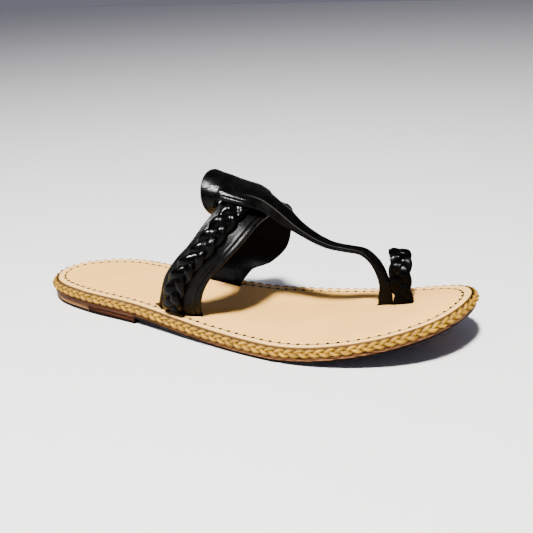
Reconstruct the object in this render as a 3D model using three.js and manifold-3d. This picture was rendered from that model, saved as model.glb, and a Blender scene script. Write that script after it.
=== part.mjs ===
import * as THREE from "three";
import { mergeVertices } from "three/addons/utils/BufferGeometryUtils.js";
import Module from "manifold-3d";

// Toe post sandal for the right foot, in millimetres.
// +X runs from heel to toe, +Y to the medial side (big toe), +Z up, and the floor is z = 0.

// Sole sizes
const INSOLE_LENGTH = 250;
const INSOLE_WIDTH = 82;
const OUTSOLE_THICKNESS = 3.3;
const INSOLE_THICKNESS = 4.3;
const HEEL_LIFT_THICKNESS = 3.9;
const HEEL_TIP_LENGTH = 41;
const HEEL_LIFT_LENGTH = 76;
const TOE_SPRING = 18.4;
const OUTSOLE_MARGIN = 2.5;
const HEEL_MARGIN = 1.9;
const SEAT_GAP = 0.3;

// Plaited jute rim
const JUTE_WIDTH = 2.6;
const JUTE_PITCH = 5.5;
const JUTE_RELIEF = 0.35;
const JUTE_BELOW_TOP = 0.2;
const JUTE_BEVEL = 0.1;

// Instep band
const LEATHER = 2;
const PIPING = 3;
const BAND_RIM = 1.65;
const BAND_FOOT_FROM_HEEL = 99.3;
const BAND_WIDTH = 29.5;
const BAND_LEAN = 35;
const INSTEP_Y = -1.8;
const INSTEP_HALF_WIDTH = 27.7;
const INSTEP_HEIGHT = 58;
const SLOT_CLEARANCE = 0.35;
const LATERAL_SLOT_EXTRA = 3.2;

// Plait on the band
const PLAIT_WIDTH = 13;
const PLAIT_HEIGHT = 4;
const PLAIT_PITCH = 9;
const PLAIT_PLACE = 0.43;
const PLAIT_GAP = 0.4;
const PLAIT_OVER_INSOLE = 1.6;

// Toe strap: a wide leaf over the band that narrows to a thin strap
const LEAF_LENGTH = 39;
const LEAF_OVERHANG = 22.6;
const LEAF_HALF_WIDTH = 13;
const LEAF_RISE = 11;
const LEAF_LIFT = 3.6;
const STRAP_LEATHER = 1.8;
const STRAP_WIDTH = 8.8;
const TOE_SLOT_FROM_TIP = 45.5;
const TOE_SLOT_FROM_MEDIAL = 24.4;

// Toe loop: a plaited ring for the big toe
const LOOP_STRAP_WIDTH = 10.4;
const LOOP_STRAP_THICKNESS = 3.4;
const LOOP_PITCH = 8.4;
const LOOP_HEIGHT = 26;
const LOOP_REACH = 17.6;
const LOOP_SET_BACK = 9.2;
const LOOP_BULGE = 1.6;
const STRAP_TO_LOOP = 0.6;

// Section of a flat plait: columns across its half width, and shares of its sizes that swell
const PLAIT_COLUMNS = [-1, -0.8, -0.4, 0, 0.4, 0.8, 1];
const PLAIT_ROUNDING = 0.9;
const PLAIT_SPREAD = 0.07;
const PLAIT_SWELL = 0.2;
const PLAIT_CHEVRON = 1.1;
const PLAIT_END_HEIGHT = 0.6;
const PLAIT_END_RINGS = 6;
const RINGS_PER_STRAND = 4;

// Section of the jute rim: angles round its outer face, how square it is, height of its back
const JUTE_ANGLES = [90, 60, 30, 0, -30, -60, -90];
const JUTE_SQUARENESS = 0.6;
const JUTE_BACK = 0.8;

// Stations along the sole's layers, samples along a path, step of a slope
const SOLE_STATIONS = 56;
const PATH_SAMPLES = 400;
const SLOPE_STEP = 0.02;

// Places on the sole that follow its ends and its medial side
const BAND_FOOT_X = BAND_FOOT_FROM_HEEL - INSOLE_LENGTH / 2;
const TOE_SLOT_X = INSOLE_LENGTH / 2 - TOE_SLOT_FROM_TIP;
const TOE_SLOT_Y = INSOLE_WIDTH / 2 - TOE_SLOT_FROM_MEDIAL;

// Outline of the insole at stations spaced like the cosine from heel to toe,
// as shares of its width: medial side and lateral side
const OUTLINE = [
  { medial: 0.007, lateral: 0.007 },
  { medial: 0.229, lateral: -0.207 },
  { medial: 0.366, lateral: -0.313 },
  { medial: 0.337, lateral: -0.364 },
  { medial: 0.357, lateral: -0.453 },
  { medial: 0.486, lateral: -0.496 },
  { medial: 0.483, lateral: -0.385 },
  { medial: 0.401, lateral: -0.166 },
  { medial: 0.166, lateral: 0.166 },
];

// Side profile of the sole, as shares of the insole's length from the heel
const SHANK_START = 0.22;
const SHANK_END = 0.585;
const SPRING_START = 0.645;
const SPRING_POWER = 1.7;

// Instep band from the lateral slot over the foot to the medial slot.
// lean: centre line's way forward, share of BAND_LEAN
// half: half width along the sole, share of BAND_WIDTH
// side: place across the foot, share of INSTEP_HALF_WIDTH
// up: height over the insole, share of INSTEP_HEIGHT
// tip: height of the rear edge over the front edge, share of BAND_WIDTH
// bow: bulge of the middle over the two edges, share of BAND_WIDTH
const BAND_ROWS = [
  { lean: 0.035, half: 0.46, side: -0.79, up: 0.02, tip: 0.05, bow: 0.15 },
  { lean: 0.115, half: 0.43, side: -0.91, up: 0.13, tip: 0.07, bow: 0.13 },
  { lean: 0.27, half: 0.4, side: -1, up: 0.345, tip: 0.17, bow: 0.1 },
  { lean: 0.465, half: 0.39, side: -0.99, up: 0.51, tip: 0.17, bow: 0.08 },
  { lean: 0.69, half: 0.41, side: -0.92, up: 0.655, tip: 0.14, bow: 0.06 },
  { lean: 0.85, half: 0.39, side: -0.765, up: 0.79, tip: 0.25, bow: 0.05 },
  { lean: 0.95, half: 0.38, side: -0.49, up: 0.9, tip: 0.28, bow: 0.04 },
  { lean: 0.97, half: 0.4, side: -0.15, up: 0.96, tip: 0.33, bow: 0.03 },
  { lean: 0.97, half: 0.42, side: 0.23, up: 0.97, tip: 0.34, bow: 0.03 },
  { lean: 0.97, half: 0.5, side: 0.565, up: 0.95, tip: 0.16, bow: 0.04 },
  { lean: 0.93, half: 0.585, side: 0.82, up: 0.855, tip: 0.07, bow: 0.06 },
  { lean: 0.815, half: 0.635, side: 0.95, up: 0.68, tip: 0.08, bow: 0.07 },
  { lean: 0.67, half: 0.67, side: 1, up: 0.485, tip: 0.18, bow: 0.08 },
  { lean: 0.455, half: 0.61, side: 0.98, up: 0.31, tip: 0.17, bow: 0.09 },
  { lean: 0.17, half: 0.5, side: 0.93, up: 0.165, tip: 0.05, bow: 0.06 },
  { lean: 0, half: 0.49, side: 0.83, up: 0.02, tip: 0.05, bow: 0.02 },
];

// Leaf of the toe strap, from its flared rear rim to the front of the band.
// lean: backward lean of the section, in degrees
// along: place, share of LEAF_LENGTH; side and wide: centre and half width, shares of LEAF_HALF_WIDTH
// drop: centre under the leaf's own level, tall: rise of the crest, shares of LEAF_RISE
// lateral and medial: how far the leather curls round on each side, in degrees
const LEAF_ROWS = [
  { along: 0, side: 0.18, wide: 1.06, drop: 0, tall: 1.15, lateral: 165, medial: 96, lean: 7 },
  { along: 0.08, side: 0.18, wide: 1.05, drop: 0.01, tall: 1.09, lateral: 156, medial: 93, lean: 6 },
  { along: 0.165, side: 0.18, wide: 1.04, drop: 0.03, tall: 1.02, lateral: 148, medial: 90, lean: 5 },
  { along: 0.25, side: 0.18, wide: 1.06, drop: 0.05, tall: 0.95, lateral: 100, medial: 88, lean: 3 },
  { along: 0.345, side: 0.2, wide: 1.22, drop: 0.08, tall: 0.79, lateral: 80, medial: 76, lean: 1 },
  { along: 0.525, side: 0.2, wide: 1.32, drop: 0.1, tall: 0.6, lateral: 76, medial: 68, lean: 0 },
  { along: 0.655, side: 0.2, wide: 1.22, drop: 0.2, tall: 0.54, lateral: 76, medial: 74, lean: 0 },
  { along: 0.82, side: 0.22, wide: 0.86, drop: 0.48, tall: 0.58, lateral: 79, medial: 78, lean: 0 },
  { along: 0.965, side: 0.25, wide: 0.68, drop: 0.76, tall: 0.5, lateral: 86, medial: 84, lean: -6 },
];

// Thin part of the toe strap, from the leaf down to the toe slot.
// along, side, fall: shares of the way left forward, across and down to the toe slot
// wide: share of STRAP_WIDTH, tall: crown, share of STRAP_LEATHER
// pitch: way that the strap falls, twist: turn of its face to the lateral side, in degrees
const STRAP_ROWS = [
  { along: 0.08, side: 0.1, fall: 0.07, wide: 0.8, tall: 2.6, pitch: 25, twist: 8 },
  { along: 0.2, side: 0.15, fall: 0.16, wide: 0.58, tall: 1.7, pitch: 32, twist: 12 },
  { along: 0.39, side: 0.32, fall: 0.29, wide: 0.5, tall: 1.1, pitch: 28, twist: 10 },
  { along: 0.525, side: 0.48, fall: 0.355, wide: 0.48, tall: 0.9, pitch: 14, twist: 8 },
  { along: 0.66, side: 0.66, fall: 0.385, wide: 0.47, tall: 0.8, pitch: 8, twist: 8 },
  { along: 0.78, side: 0.82, fall: 0.415, wide: 0.4, tall: 0.8, pitch: 25, twist: 18 },
  { along: 0.895, side: 0.92, fall: 0.52, wide: 0.34, tall: 0.75, pitch: 52, twist: 40 },
  { along: 0.968, side: 0.98, fall: 0.68, wide: 0.34, tall: 0.7, pitch: 68, twist: 62 },
  { along: 0.998, side: 1, fall: 0.81, wide: 0.4, tall: 0.65, pitch: 78, twist: 78 },
  { along: 1, side: 1, fall: 0.95, wide: 0.48, tall: 0.6, pitch: 90, twist: 90 },
];

// Toe loop from the slot between the toes over the big toe to the medial side.
// across: share of LOOP_REACH, up: share of LOOP_HEIGHT
// out: bulge, share of LOOP_BULGE, back: way to the rear, share of LOOP_SET_BACK
const LOOP_ROWS = [
  { across: 0, up: 0.01, out: 0, back: 0 },
  { across: 0, up: 0.2, out: 0.5, back: 0.06 },
  { across: 0, up: 0.5, out: 1, back: 0.13 },
  { across: 0.04, up: 0.78, out: 0.7, back: 0.18 },
  { across: 0.24, up: 0.95, out: 0, back: 0.35 },
  { across: 0.5, up: 1, out: 0, back: 0.6 },
  { across: 0.76, up: 0.95, out: 0, back: 0.78 },
  { across: 0.96, up: 0.78, out: -0.7, back: 0.9 },
  { across: 1, up: 0.5, out: -1, back: 0.95 },
  { across: 1, up: 0.2, out: -0.5, back: 1 },
  { across: 1, up: 0.01, out: 0, back: 1 },
];

const wasm = await Module();
wasm.setup();

const radians = THREE.MathUtils.degToRad;

// One column of a table between its rows, smooth and without overshoot
function tableValue(rows, column, place) {
  const last = rows.length - 1;
  const row = Math.min(Math.max(Math.floor(place), 0), last - 1);
  const part = place - row;
  const step = (k) => rows[k + 1][column] - rows[k][column];
  const slope = (k) => {
    if (k === 0) {
      return step(0);
    }
    if (k === last) {
      return step(last - 1);
    }
    const before = step(k - 1);
    const after = step(k);
    return before * after <= 0 ? 0 : (2 * before * after) / (before + after);
  };
  const square = part * part;
  const cube = square * part;
  return (
    (2 * cube - 3 * square + 1) * rows[row][column] +
    (cube - 2 * square + part) * slope(row) +
    (3 * square - 2 * cube) * rows[row + 1][column] +
    (cube - square) * slope(row + 1)
  );
}

// Closed geometry from points and triangles, faces pointing out
function closedGeometry(points, faces) {
  let geometry = new THREE.BufferGeometry();
  geometry.setAttribute("position", new THREE.Float32BufferAttribute(points.flatMap((p) => [p.x, p.y, p.z]), 3));
  geometry.setIndex(faces.flat());
  geometry = mergeVertices(geometry, 1e-4);
  const position = geometry.getAttribute("position");
  const corner = (k) => new THREE.Vector3().fromBufferAttribute(position, k);
  const kept = [];
  let volume = 0;
  for (let i = 0; i < geometry.index.count; i += 3) {
    const [a, b, c] = [0, 1, 2].map((k) => geometry.index.getX(i + k));
    if (a === b || b === c || c === a) {
      continue;
    }
    kept.push([a, b, c]);
    volume += corner(a).dot(corner(b).cross(corner(c)));
  }
  geometry.setIndex(kept.flatMap(([a, b, c]) => (volume < 0 ? [a, c, b] : [a, b, c])));
  geometry.computeVertexNormals();
  return geometry;
}

// Solid through a row of rings; each ring runs along its upper row and back along its lower row
function ringSolid(rings, closed = false) {
  const count = rings[0].length;
  const points = rings.flat();
  const faces = [];
  const steps = closed ? rings.length : rings.length - 1;
  for (let i = 0; i < steps; i += 1) {
    const here = i * count;
    const there = ((i + 1) % rings.length) * count;
    for (let j = 0; j < count; j += 1) {
      const k = (j + 1) % count;
      faces.push([here + j, there + j, there + k]);
      faces.push([here + j, there + k, here + k]);
    }
  }
  if (!closed) {
    const end = (rings.length - 1) * count;
    for (let j = 0; j < count / 2 - 1; j += 1) {
      const back = count - 1 - j;
      faces.push([j, j + 1, back - 1]);
      faces.push([j, back - 1, back]);
      faces.push([end + j, end + back - 1, end + j + 1]);
      faces.push([end + j, end + back, end + back - 1]);
    }
  }
  return closedGeometry(points, faces);
}

function toManifold(geometry) {
  return new wasm.Manifold(new wasm.Mesh({
    numProp: 3,
    vertProperties: new Float32Array(geometry.getAttribute("position").array),
    triVerts: new Uint32Array(geometry.index.array),
  }));
}

function fromManifold(solid) {
  const mesh = solid.getMesh();
  const geometry = new THREE.BufferGeometry();
  geometry.setAttribute("position", new THREE.BufferAttribute(Float32Array.from(mesh.vertProperties), 3));
  geometry.setIndex(new THREE.BufferAttribute(Uint32Array.from(mesh.triVerts), 1));
  geometry.computeVertexNormals();
  return geometry;
}

// Sole outline at an angle round it: 0 at the heel, half a turn at the toe, medial side first
const OUTLINE_LOOP = [
  ...OUTLINE.map((row) => row.medial),
  ...OUTLINE.slice(1, -1).reverse().map((row) => row.lateral),
];

function outlinePoint(angle) {
  const count = OUTLINE_LOOP.length;
  const place = (((angle / (2 * Math.PI)) % 1) + 1) % 1 * count;
  const k = Math.floor(place);
  const part = place - k;
  const [a, b, c, d] = [-1, 0, 1, 2].map((step) => OUTLINE_LOOP[(k + step + count) % count]);
  const share = b + 0.5 * part * (c - a + part * (2 * a - 5 * b + 4 * c - d + part * (3 * (b - c) + d - a)));
  return new THREE.Vector2(-0.5 * INSOLE_LENGTH * Math.cos(angle), share * INSOLE_WIDTH);
}

function outlineOffset(angle, margin) {
  const step = 0.01;
  const way = outlinePoint(angle + step).sub(outlinePoint(angle - step)).normalize();
  return outlinePoint(angle).add(new THREE.Vector2(-way.y, way.x).multiplyScalar(margin));
}

// Height of the sole's underside over the floor
function soleBottom(x) {
  const share = x / INSOLE_LENGTH + 0.5;
  const shank = 1 - THREE.MathUtils.smoothstep(share, SHANK_START, SHANK_END);
  const spring = Math.max(0, (share - SPRING_START) / (1 - SPRING_START)) ** SPRING_POWER;
  return (HEEL_LIFT_THICKNESS + SEAT_GAP) * shank + TOE_SPRING * spring;
}

const outsoleTop = (x) => soleBottom(x) + OUTSOLE_THICKNESS;
const insoleBottom = (x) => outsoleTop(x) + SEAT_GAP;
const insoleTop = (x) => insoleBottom(x) + INSOLE_THICKNESS;

// Layer of the sole between two heights, its edge a margin outside the insole's
function soleLayer(margin, bottom, top) {
  const rings = [];
  for (let i = 0; i <= SOLE_STATIONS; i += 1) {
    const angle = (Math.PI * i) / SOLE_STATIONS;
    const sides = [outlineOffset(angle, margin), outlineOffset(-angle, margin)];
    const upper = sides.map((p) => new THREE.Vector3(p.x, p.y, top(p.x)));
    const lower = sides.map((p) => new THREE.Vector3(p.x, p.y, bottom(p.x))).reverse();
    rings.push([...upper, ...lower]);
  }
  return ringSolid(rings);
}

// Upright prism round a line on the sole, a half thickness to each side and longer at its ends
function uprightPrism(line, half, reach, bottom, top, rearReach = reach) {
  const last = line.length - 1;
  const way = (k) => line[Math.min(k + 1, last)].clone().sub(line[Math.max(k - 1, 0)]).normalize();
  const shifted = line.map((p, k) => {
    const end = (k === last ? reach : 0) - (k === 0 ? rearReach : 0);
    return p.clone().addScaledVector(way(k), end);
  });
  const rings = shifted.map((p, k) => {
    const aside = new THREE.Vector2(-way(k).y, way(k).x).multiplyScalar(half);
    return [
      new THREE.Vector3(p.x + aside.x, p.y + aside.y, top),
      new THREE.Vector3(p.x - aside.x, p.y - aside.y, top),
      new THREE.Vector3(p.x - aside.x, p.y - aside.y, bottom),
      new THREE.Vector3(p.x + aside.x, p.y + aside.y, bottom),
    ];
  });
  return ringSolid(rings);
}

// Place of the middle of the band's leather; along counts table rows, across runs from rear to front
function bandPoint(along, across) {
  const value = (column) => tableValue(BAND_ROWS, column, along);
  const centre = BAND_FOOT_X + BAND_LEAN * value("lean");
  const offset = BAND_WIDTH * value("half") * (2 * across - 1);
  const x = centre + offset;
  const y = INSTEP_Y + INSTEP_HALF_WIDTH * value("side");
  const tip = BAND_WIDTH * value("tip") * (0.5 - across);
  const z = insoleTop(BAND_FOOT_X) + INSTEP_HEIGHT * value("up") + tip;
  return new THREE.Vector3(x, y, z);
}

function bandFlatNormal(along, across) {
  const low = Math.max(along - SLOPE_STEP, 0);
  const high = Math.min(along + SLOPE_STEP, BAND_ROWS.length - 1);
  const way = bandPoint(high, across).sub(bandPoint(low, across));
  const width = bandPoint(along, 1).sub(bandPoint(along, 0));
  return width.cross(way).normalize();
}

// Bowed surface of the band, highest along its middle
function bandSurface(along, across) {
  const bow = BAND_WIDTH * tableValue(BAND_ROWS, "bow", along) * 4 * across * (1 - across);
  return bandPoint(along, across).addScaledVector(bandFlatNormal(along, 0.5), bow);
}

function bandNormal(along, across) {
  const [low, high] = [Math.max(along - SLOPE_STEP, 0), Math.min(along + SLOPE_STEP, BAND_ROWS.length - 1)];
  const [rear, front] = [Math.max(across - SLOPE_STEP, 0), Math.min(across + SLOPE_STEP, 1)];
  const way = bandSurface(high, across).sub(bandSurface(low, across));
  const width = bandSurface(along, front).sub(bandSurface(along, rear));
  return width.cross(way).normalize();
}

// Leather across the band: thin rounded rim, raised piping, flat leather
const BAND_PROFILE = [
  { across: 0, thick: BAND_RIM },
  { across: 0.04, thick: PIPING },
  { across: 0.09, thick: PIPING },
  { across: 0.14, thick: LEATHER },
  { across: 0.38, thick: LEATHER },
  { across: 0.62, thick: LEATHER },
  { across: 0.84, thick: LEATHER },
  { across: 0.9, thick: PIPING },
  { across: 0.96, thick: PIPING },
  { across: 1, thick: BAND_RIM },
];

// Line of a band foot on the insole, which its slot follows
function footLine(along) {
  return BAND_PROFILE.map(({ across }) => {
    const p = bandSurface(along, across);
    return new THREE.Vector2(p.x, p.y);
  });
}

function bandRing(along) {
  const upper = [];
  const lower = [];
  for (const { across, thick } of BAND_PROFILE) {
    const centre = bandSurface(along, across);
    const normal = bandNormal(along, across);
    upper.push(centre.clone().addScaledVector(normal, thick / 2));
    lower.unshift(centre.clone().addScaledVector(normal, -thick / 2));
  }
  return [...upper, ...lower];
}

function instepBand() {
  const last = BAND_ROWS.length - 1;
  const rows = 2 * last;
  const rings = [];
  for (let i = 0; i <= rows; i += 1) {
    rings.push(bandRing((last * i) / rows));
  }
  return ringSolid([slotFoot(rings[0]), ...rings, slotFoot(rings[rows])]);
}

// Ring of a flat plait: a rounded upper row whose two halves swell in turn, over a flat lower row
function plaitRing(centre, side, out, half, height, phase) {
  const upper = [];
  const lower = [];
  for (const column of PLAIT_COLUMNS) {
    const swell = Math.cos(phase - PLAIT_CHEVRON * Math.abs(column) + (column < 0 ? Math.PI : 0));
    const turn = column === 0 ? 0 : swell;
    const dome = Math.sqrt(1 - (PLAIT_ROUNDING * column) ** 2);
    const reach = column * half * (1 + PLAIT_SPREAD * (turn - 1));
    const place = centre.clone().addScaledVector(side, reach);
    upper.push(place.clone().addScaledVector(out, height * dome * (1 + PLAIT_SWELL * (turn - 1))));
    lower.unshift(place);
  }
  return [...upper, ...lower];
}

// Length along the band's plait up to each sample of the table's rows
function plaitPath() {
  const last = BAND_ROWS.length - 1;
  const path = [];
  let length = 0;
  let before = null;
  for (let i = 0; i <= PATH_SAMPLES; i += 1) {
    const along = (last * i) / PATH_SAMPLES;
    const point = bandSurface(along, PLAIT_PLACE);
    length += before ? point.distanceTo(before) : 0;
    path.push({ along, length, point });
    before = point;
  }
  return path;
}

function bandPlait() {
  const standing = (p) => p.z - insoleTop(p.x) > PLAIT_OVER_INSOLE;
  const path = plaitPath().filter(({ point }) => standing(point));
  const start = path[0].length;
  const total = path[path.length - 1].length - start;
  const stations = Math.round((RINGS_PER_STRAND * total) / PLAIT_PITCH);
  const rings = [];
  for (let i = 0; i <= stations; i += 1) {
    const wanted = start + (total * i) / stations;
    const { along } = path.find(({ length }) => length >= wanted - 1e-9);
    const normal = bandNormal(along, PLAIT_PLACE);
    const [rear, front] = [-SLOPE_STEP, SLOPE_STEP].map((step) => bandSurface(along, PLAIT_PLACE + step));
    const side = front.sub(rear).normalize();
    const base = bandSurface(along, PLAIT_PLACE).addScaledVector(normal, LEATHER / 2 + PLAIT_GAP);
    const fromEnd = Math.min(1, Math.min(i, stations - i) / PLAIT_END_RINGS);
    const height = PLAIT_HEIGHT * THREE.MathUtils.lerp(PLAIT_END_HEIGHT, 1, fromEnd);
    const phase = (2 * Math.PI * i) / RINGS_PER_STRAND;
    rings.push(plaitRing(base, side, normal, PLAIT_WIDTH / 2, height, phase));
  }
  return ringSolid(rings);
}

// Copy of a ring let down through its slot, almost to the outsole
function slotFoot(ring) {
  return ring.map((p) => new THREE.Vector3(p.x, p.y, insoleBottom(p.x) + SEAT_GAP));
}

// Ring of a curled sheet of leather: an elliptic arc between two curl angles
function curledRing({ centre, side, up, wide, tall, lateral, medial }, thick, columns) {
  const upper = [];
  const lower = [];
  for (let j = 0; j <= columns; j += 1) {
    const turn = radians(-lateral + ((lateral + medial) * j) / columns);
    const across = Math.sin(turn);
    const over = Math.cos(turn);
    const place = centre.clone().addScaledVector(side, wide * across).addScaledVector(up, tall * over);
    const normal = side.clone().multiplyScalar(across / wide).addScaledVector(up, over / tall).normalize();
    upper.push(place);
    lower.unshift(place.clone().addScaledVector(normal, -thick));
  }
  return [...upper, ...lower];
}

function leafSection(place) {
  const value = (column) => tableValue(LEAF_ROWS, column, place);
  const bandTopX = BAND_FOOT_X + BAND_LEAN;
  const level = insoleTop(BAND_FOOT_X) + INSTEP_HEIGHT + LEAF_LIFT;
  return {
    centre: new THREE.Vector3(
      bandTopX - LEAF_OVERHANG + LEAF_LENGTH * value("along"),
      INSTEP_Y + LEAF_HALF_WIDTH * value("side"),
      level - LEAF_RISE * value("drop"),
    ),
    side: new THREE.Vector3(0, 1, 0),
    up: new THREE.Vector3(-Math.sin(radians(value("lean"))), 0, Math.cos(radians(value("lean")))),
    wide: LEAF_HALF_WIDTH * value("wide"),
    tall: LEAF_RISE * value("tall"),
    lateral: value("lateral"),
    medial: value("medial"),
  };
}

function strapSection(place) {
  const value = (column) => tableValue(STRAP_ROWS, column, place);
  const start = leafSection(LEAF_ROWS.length - 1).centre;
  const end = new THREE.Vector3(TOE_SLOT_X, TOE_SLOT_Y, insoleTop(TOE_SLOT_X));
  const pitch = radians(value("pitch"));
  const twist = radians(value("twist"));
  const across = new THREE.Vector3(0, 1, 0);
  const over = new THREE.Vector3(Math.sin(pitch), 0, Math.cos(pitch));
  return {
    centre: new THREE.Vector3(
      THREE.MathUtils.lerp(start.x, end.x, value("along")),
      THREE.MathUtils.lerp(start.y, end.y, value("side")),
      THREE.MathUtils.lerp(start.z, end.z, value("fall")),
    ),
    side: across.clone().multiplyScalar(Math.cos(twist)).addScaledVector(over, Math.sin(twist)),
    up: over.clone().multiplyScalar(Math.cos(twist)).addScaledVector(across, -Math.sin(twist)),
    wide: STRAP_WIDTH * value("wide"),
    tall: STRAP_LEATHER * value("tall"),
    lateral: 90,
    medial: 90,
  };
}

function toeStrap() {
  const columns = 12;
  const sections = [];
  const leafSteps = 2 * (LEAF_ROWS.length - 1);
  for (let i = 0; i <= leafSteps; i += 1) {
    sections.push(leafSection(i / 2));
  }
  const strapSteps = 2 * (STRAP_ROWS.length - 1);
  for (let i = 0; i <= strapSteps; i += 1) {
    sections.push(strapSection(i / 2));
  }
  const rings = sections.map((section) => curledRing(section, STRAP_LEATHER, columns));
  return ringSolid([...rings, slotFoot(rings[rings.length - 1])]);
}

// Foot of the toe loop beside the toe strap, in the same row of slots
const LOOP_FOOT_X = TOE_SLOT_X + STRAP_WIDTH / 2 + STRAP_TO_LOOP + LOOP_STRAP_WIDTH / 2;

function loopPoint(place) {
  const value = (column) => tableValue(LOOP_ROWS, column, place);
  const x = LOOP_FOOT_X - LOOP_SET_BACK * value("back");
  const y = TOE_SLOT_Y + LOOP_REACH * value("across") - LOOP_BULGE * value("out");
  return new THREE.Vector3(x, y, insoleTop(LOOP_FOOT_X) + LOOP_HEIGHT * value("up"));
}

function toeLoop() {
  const last = LOOP_ROWS.length - 1;
  const points = Array.from({ length: PATH_SAMPLES + 1 }, (_, i) => loopPoint((last * i) / PATH_SAMPLES));
  const path = new THREE.CatmullRomCurve3(points);
  const stations = Math.round((RINGS_PER_STRAND * path.getLength()) / LOOP_PITCH);
  const rings = [];
  for (let i = 0; i <= stations; i += 1) {
    const centre = path.getPointAt(i / stations);
    const way = path.getTangentAt(i / stations);
    const out = way.clone().cross(new THREE.Vector3(1, 0, 0)).negate().normalize();
    const side = out.clone().cross(way).normalize();
    const base = centre.clone().addScaledVector(out, -LOOP_STRAP_THICKNESS / 2);
    const turn = (2 * Math.PI * i) / RINGS_PER_STRAND;
    rings.push(plaitRing(base, side, out, LOOP_STRAP_WIDTH / 2, LOOP_STRAP_THICKNESS, turn));
  }
  return ringSolid([slotFoot(rings[0]), ...rings, slotFoot(rings[rings.length - 1])]);
}

// Slots in the insole that the band, the toe strap and the toe loop pass through
function slotCutters() {
  const top = insoleTop(TOE_SLOT_X) + INSOLE_THICKNESS;
  const bandHalf = PIPING / 2 + SLOT_CLEARANCE;
  const alongX = (x, y, length) => [new THREE.Vector2(x - length / 2, y), new THREE.Vector2(x + length / 2, y)];
  const strapHalf = STRAP_LEATHER / 2 + SLOT_CLEARANCE;
  const loopHalf = LOOP_STRAP_THICKNESS / 2 + SLOT_CLEARANCE;
  const farX = LOOP_FOOT_X - LOOP_SET_BACK;
  const farY = TOE_SLOT_Y + LOOP_REACH;
  return [
    uprightPrism(footLine(0), bandHalf, SLOT_CLEARANCE, 0, top, LATERAL_SLOT_EXTRA),
    uprightPrism(footLine(BAND_ROWS.length - 1), bandHalf, SLOT_CLEARANCE, 0, top),
    uprightPrism(alongX(TOE_SLOT_X, TOE_SLOT_Y, STRAP_WIDTH), strapHalf, SLOT_CLEARANCE, 0, top),
    uprightPrism(alongX(LOOP_FOOT_X, TOE_SLOT_Y, LOOP_STRAP_WIDTH), loopHalf, SLOT_CLEARANCE, 0, top),
    uprightPrism(alongX(farX, farY, LOOP_STRAP_WIDTH), loopHalf, SLOT_CLEARANCE, 0, top),
  ];
}

function insole() {
  const body = toManifold(soleLayer(0, insoleBottom, insoleTop));
  const cut = slotCutters().reduce((rest, cutter) => rest.subtract(toManifold(cutter)), body);
  return fromManifold(cut);
}

// Heel piece under the outsole between two distances from the back of the sole
function heelPiece(from, to) {
  const top = (x) => soleBottom(x) - SEAT_GAP;
  const layer = toManifold(soleLayer(HEEL_MARGIN, () => 0, top));
  const back = -0.5 * INSOLE_LENGTH - OUTSOLE_MARGIN;
  const overHeel = 2 * top(back);
  const block = new THREE.BoxGeometry(to - from, 2 * INSOLE_WIDTH, 2 * overHeel);
  block.translate(back + 0.5 * (from + to), 0, 0);
  block.deleteAttribute("normal");
  block.deleteAttribute("uv");
  return fromManifold(layer.intersect(toManifold(mergeVertices(block))));
}

// Plaited jute rim: two rows of strands that swell in turn round the insole's edge
function juteRim() {
  const centre = SEAT_GAP + JUTE_WIDTH / 2;
  const samples = Array.from({ length: PATH_SAMPLES }, (_, i) => {
    const p = outlineOffset((-2 * Math.PI * i) / PATH_SAMPLES, centre);
    return new THREE.Vector3(p.x, p.y, 0);
  });
  const path = new THREE.CatmullRomCurve3(samples, true);
  path.arcLengthDivisions = 4 * PATH_SAMPLES;
  const stations = 2 * Math.round(path.getLength() / JUTE_PITCH);
  const rings = [];
  for (let i = 0; i < stations; i += 1) {
    const middle = path.getPointAt(i / stations);
    const way = path.getTangentAt(i / stations);
    const out = new THREE.Vector3(way.y, -way.x, 0);
    const low = outsoleTop(middle.x) + SEAT_GAP;
    const high = insoleTop(middle.x) - JUTE_BELOW_TOP;
    const halfHeight = (high - low) / 2;
    middle.setZ((high + low) / 2);
    const swell = i % 2 === 0 ? 1 : -1;
    const ring = [];
    for (const degrees of JUTE_ANGLES) {
      const turn = radians(degrees);
      const lobe = degrees === 0 ? -JUTE_RELIEF : JUTE_RELIEF * Math.sin(2 * turn) * swell;
      const reach = (JUTE_WIDTH / 2) * Math.cos(turn) ** JUTE_SQUARENESS + lobe;
      const rise = (halfHeight - JUTE_BEVEL) * Math.sin(turn);
      ring.push(middle.clone().addScaledVector(out, reach).setZ(middle.z + rise));
    }
    const back = middle.clone().addScaledVector(out, -JUTE_WIDTH / 2);
    ring.push(back.clone().setZ(middle.z - JUTE_BACK * halfHeight));
    ring.push(back.clone().setZ(middle.z + JUTE_BACK * halfHeight));
    rings.push(ring);
  }
  return ringSolid(rings, true);
}

// Materials
const BLACK_LEATHER = { color: "#141312", roughness: 0.35, metalness: 0 };
const TAN_LEATHER = { color: "#dcc1a0", roughness: 0.6, metalness: 0 };
const SOLE_LEATHER = { color: "#8a5a34", roughness: 0.5, metalness: 0 };
const HEEL_LEATHER = { color: "#5a3020", roughness: 0.5, metalness: 0 };
const HEEL_TIP_LEATHER = { color: "#b98a5c", roughness: 0.55, metalness: 0 };
const JUTE = { color: "#c8a060", roughness: 0.85, metalness: 0 };

const group = new THREE.Group();

function addPart(name, geometry, finish) {
  const mesh = new THREE.Mesh(geometry, new THREE.MeshStandardMaterial(finish));
  mesh.name = name;
  group.add(mesh);
}

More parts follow.
